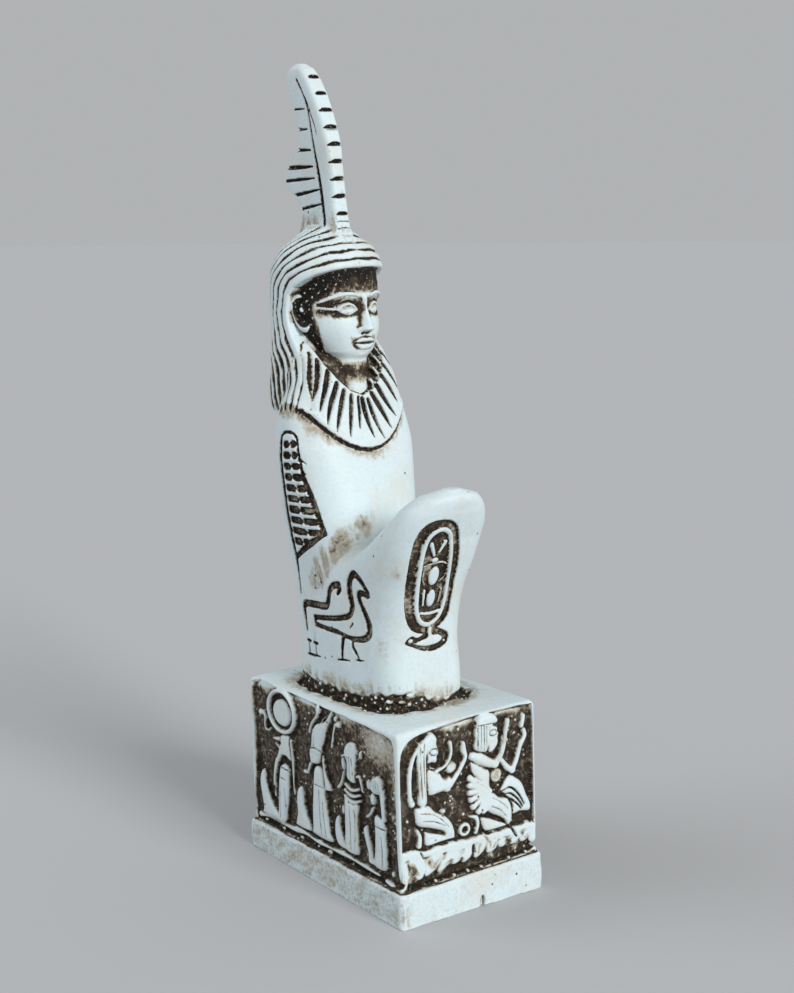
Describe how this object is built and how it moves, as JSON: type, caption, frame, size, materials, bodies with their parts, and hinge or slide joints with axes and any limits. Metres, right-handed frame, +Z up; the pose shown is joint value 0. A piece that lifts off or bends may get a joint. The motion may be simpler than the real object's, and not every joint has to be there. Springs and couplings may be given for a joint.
{
  "type": "maat statue",
  "caption": "Cast figure of a squatting goddess with a tall feather on her head, on an oblong plinth with sunk relief panels.",
  "frame": {"origin": "middle of the underside's box, on the plane it stands on", "axes": "+Z up, the figure faces -Y, her own right side is at -X"},
  "size_m": [0.0432, 0.0702, 0.1996],
  "materials": {
    "cast_stone": "smooth cast stone, cool white, with a dark brown wash left in the carving"
  },
  "bodies": {
    "root": {"maat_statue": "cast_stone"}
  },
  "joints": []
}
